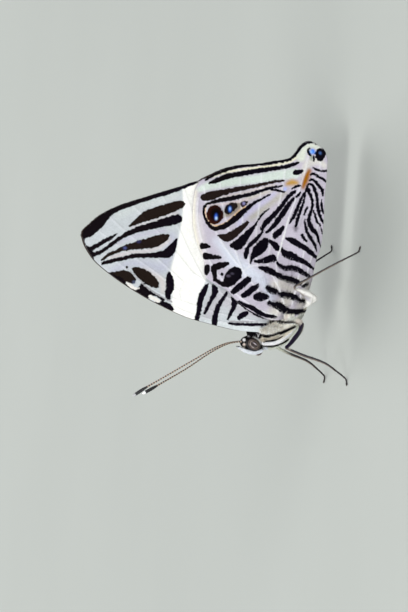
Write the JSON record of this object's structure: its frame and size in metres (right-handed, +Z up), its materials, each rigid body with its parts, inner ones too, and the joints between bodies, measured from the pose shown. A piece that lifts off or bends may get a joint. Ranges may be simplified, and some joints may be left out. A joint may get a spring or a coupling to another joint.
{
  "type": "zebra mosaic butterfly",
  "caption": "Still, life-size striped butterfly standing on its walking legs with the wings closed upright over its back and the feelers raised.",
  "frame": {"origin": "on the floor, under the middle of the whole length and width", "axes": "+Z up from the floor, -X towards the head, -Y towards the butterfly's left side"},
  "size_m": [0.0417, 0.02, 0.042],
  "materials": {
    "body_scales": "soft hair and scales",
    "eye_facets": "smooth, finely faceted",
    "dark_cuticle": "satin",
    "leg_scales": "satin, close scales",
    "wing_scales": "dry, velvety scales"
  },
  "bodies": {
    "root": {"head": "body_scales", "thorax": "body_scales", "abdomen": "body_scales", "eye_left": "eye_facets", "eye_right": "eye_facets", "antenna_left": "dark_cuticle", "antenna_right": "dark_cuticle", "palp_left": "body_scales", "palp_right": "body_scales", "proboscis": "dark_cuticle", "foreleg_left": "leg_scales", "foreleg_right": "leg_scales", "midleg_left": "leg_scales", "midleg_right": "leg_scales", "hindleg_left": "leg_scales", "hindleg_right": "leg_scales", "forewing_left": "wing_scales", "forewing_right": "wing_scales", "hindwing_left": "wing_scales", "hindwing_right": "wing_scales"}
  },
  "joints": []
}
